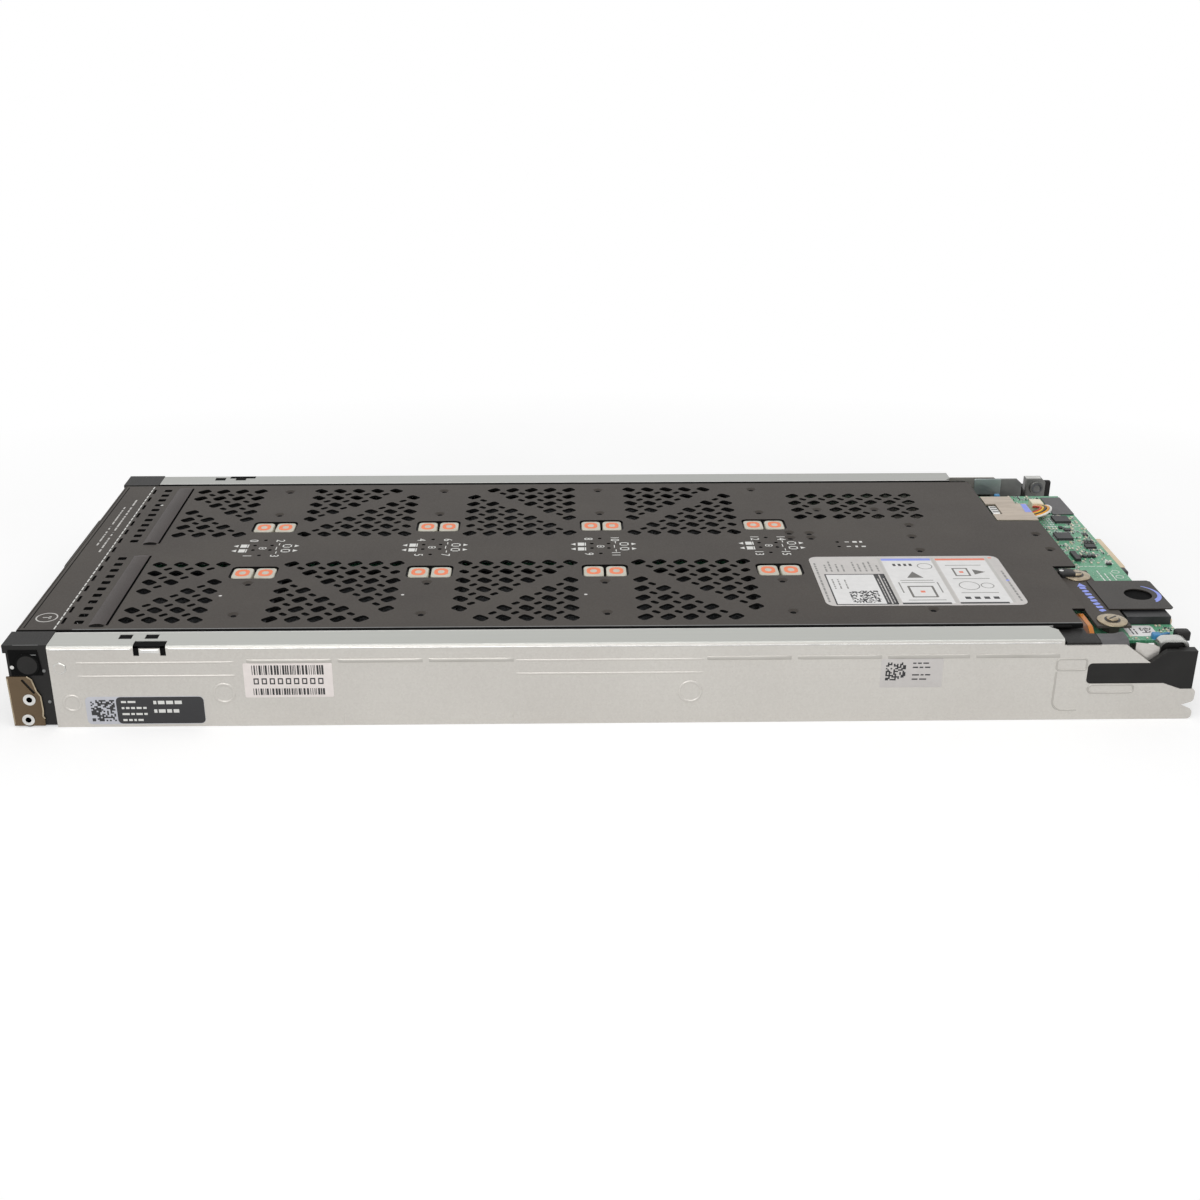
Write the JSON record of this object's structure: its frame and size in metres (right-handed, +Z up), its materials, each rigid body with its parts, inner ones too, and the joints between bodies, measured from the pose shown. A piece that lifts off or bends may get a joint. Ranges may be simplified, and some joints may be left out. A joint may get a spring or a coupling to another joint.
{
  "type": "drive storage sled",
  "caption": "Flat sheet-metal storage sled for a modular enclosure: a pull-out drawer of small drives under a perforated black panel with release buttons, a front handle and rear connectors.",
  "frame": {"origin": "centre of the footprint on the plane the base lies on", "axes": "+X from the drawer's front towards the rear connectors, +Y towards the far side wall, +Z up"},
  "size_m": [0.595, 0.251, 0.046],
  "materials": {
    "zinc_steel": "satin zinc plate",
    "black_sheet": "dark brown-black powder coat",
    "black_plastic": "fine matt",
    "bronze_sheet": "satin bronze tone",
    "bright_steel": "polished nickel",
    "button_grey": "satin",
    "drive_case": "brushed",
    "board_green": "solder mask",
    "chip_black": "moulded",
    "port_beige": "moulded",
    "cream_plastic": "moulded",
    "tan_nickel": "satin nickel",
    "flex_orange": "film",
    "tab_film": "film",
    "grey_plastic": "moulded",
    "sink_aluminium": "extruded"
  },
  "bodies": {
    "sled": {"near_side_wall": "zinc_steel", "far_side_wall": "zinc_steel", "base_plate": "zinc_steel", "near_slide_rail": "zinc_steel", "far_slide_rail": "zinc_steel", "rear_board": "board_green", "board_carrier": "zinc_steel", "rear_connectors": "port_beige", "board_parts": "chip_black", "wire_connector": "cream_plastic", "near_guide_arm": "black_plastic", "far_guide_arm": "black_plastic", "near_corner_bracket": "zinc_steel", "far_corner_bracket": "zinc_steel", "control_module": "black_sheet", "captive_screws": "bright_steel", "slotted_bracket": "tan_nickel", "flat_cable": "flex_orange", "cable_clamp": "grey_plastic"},
    "drawer": {"near_drawer_runner": "black_sheet", "far_drawer_runner": "black_sheet", "drawer_floor": "black_sheet", "drive_pair_near_1": "drive_case", "drive_pair_near_2": "drive_case", "drive_pair_near_3": "drive_case", "drive_pair_near_4": "drive_case", "drive_pair_far_1": "drive_case", "drive_pair_far_2": "drive_case", "drive_pair_far_3": "drive_case", "drive_pair_far_4": "drive_case", "spine_board": "board_green", "drive_sockets": "chip_black", "bay_frames": "black_plastic", "drawer_panel": "black_sheet", "drawer_front": "black_plastic", "front_grille": "black_plastic", "handle_pin": "bright_steel", "latch_plate": "bronze_sheet", "latch_rivets": "bright_steel", "expander_board": "board_green", "heat_sinks": "sink_aluminium"},
    "handle": {"release_handle": "bronze_sheet"},
    "release_button": {"drawer_release_button": "button_grey"},
    "tab": {"pull_tab": "tab_film"},
    "button_00": {"drive_button_00": "button_grey"},
    "button_01": {"drive_button_01": "button_grey"},
    "button_02": {"drive_button_02": "button_grey"},
    "button_03": {"drive_button_03": "button_grey"},
    "button_04": {"drive_button_04": "button_grey"},
    "button_05": {"drive_button_05": "button_grey"},
    "button_06": {"drive_button_06": "button_grey"},
    "button_07": {"drive_button_07": "button_grey"},
    "button_08": {"drive_button_08": "button_grey"},
    "button_09": {"drive_button_09": "button_grey"},
    "button_10": {"drive_button_10": "button_grey"},
    "button_11": {"drive_button_11": "button_grey"},
    "button_12": {"drive_button_12": "button_grey"},
    "button_13": {"drive_button_13": "button_grey"},
    "button_14": {"drive_button_14": "button_grey"},
    "button_15": {"drive_button_15": "button_grey"}
  },
  "joints": [
    {"name": "drawer_slide", "type": "slide", "parent": "sled", "child": "drawer", "axis": [-1, 0, 0], "range_m": [0, 0.37]},
    {"name": "handle_swing", "type": "hinge", "parent": "drawer", "child": "handle", "pos_m": [-0.2933, -0.104, 0.032], "axis": [0, 0, 1], "range_deg": [0, 60]},
    {"name": "drawer_release", "type": "slide", "parent": "drawer", "child": "release_button", "axis": [1, 0, 0], "range_m": [0, 0.003], "stiffness_N_per_m": 500},
    {"name": "tab_lift", "type": "hinge", "parent": "sled", "child": "tab", "pos_m": [0.2625, -0.06825, 0.0433], "axis": [0, -1, 0], "range_deg": [0, 90]},
    {"name": "drive_release_00", "type": "slide", "parent": "drawer", "child": "button_00", "axis": [0, 0, -1], "range_m": [0, 0.002], "stiffness_N_per_m": 500},
    {"name": "drive_release_01", "type": "slide", "parent": "drawer", "child": "button_01", "axis": [0, 0, -1], "range_m": [0, 0.002], "stiffness_N_per_m": 500},
    {"name": "drive_release_02", "type": "slide", "parent": "drawer", "child": "button_02", "axis": [0, 0, -1], "range_m": [0, 0.002], "stiffness_N_per_m": 500},
    {"name": "drive_release_03", "type": "slide", "parent": "drawer", "child": "button_03", "axis": [0, 0, -1], "range_m": [0, 0.002], "stiffness_N_per_m": 500},
    {"name": "drive_release_04", "type": "slide", "parent": "drawer", "child": "button_04", "axis": [0, 0, -1], "range_m": [0, 0.002], "stiffness_N_per_m": 500},
    {"name": "drive_release_05", "type": "slide", "parent": "drawer", "child": "button_05", "axis": [0, 0, -1], "range_m": [0, 0.002], "stiffness_N_per_m": 500},
    {"name": "drive_release_06", "type": "slide", "parent": "drawer", "child": "button_06", "axis": [0, 0, -1], "range_m": [0, 0.002], "stiffness_N_per_m": 500},
    {"name": "drive_release_07", "type": "slide", "parent": "drawer", "child": "button_07", "axis": [0, 0, -1], "range_m": [0, 0.002], "stiffness_N_per_m": 500},
    {"name": "drive_release_08", "type": "slide", "parent": "drawer", "child": "button_08", "axis": [0, 0, -1], "range_m": [0, 0.002], "stiffness_N_per_m": 500},
    {"name": "drive_release_09", "type": "slide", "parent": "drawer", "child": "button_09", "axis": [0, 0, -1], "range_m": [0, 0.002], "stiffness_N_per_m": 500},
    {"name": "drive_release_10", "type": "slide", "parent": "drawer", "child": "button_10", "axis": [0, 0, -1], "range_m": [0, 0.002], "stiffness_N_per_m": 500},
    {"name": "drive_release_11", "type": "slide", "parent": "drawer", "child": "button_11", "axis": [0, 0, -1], "range_m": [0, 0.002], "stiffness_N_per_m": 500},
    {"name": "drive_release_12", "type": "slide", "parent": "drawer", "child": "button_12", "axis": [0, 0, -1], "range_m": [0, 0.002], "stiffness_N_per_m": 500},
    {"name": "drive_release_13", "type": "slide", "parent": "drawer", "child": "button_13", "axis": [0, 0, -1], "range_m": [0, 0.002], "stiffness_N_per_m": 500},
    {"name": "drive_release_14", "type": "slide", "parent": "drawer", "child": "button_14", "axis": [0, 0, -1], "range_m": [0, 0.002], "stiffness_N_per_m": 500},
    {"name": "drive_release_15", "type": "slide", "parent": "drawer", "child": "button_15", "axis": [0, 0, -1], "range_m": [0, 0.002], "stiffness_N_per_m": 500}
  ]
}
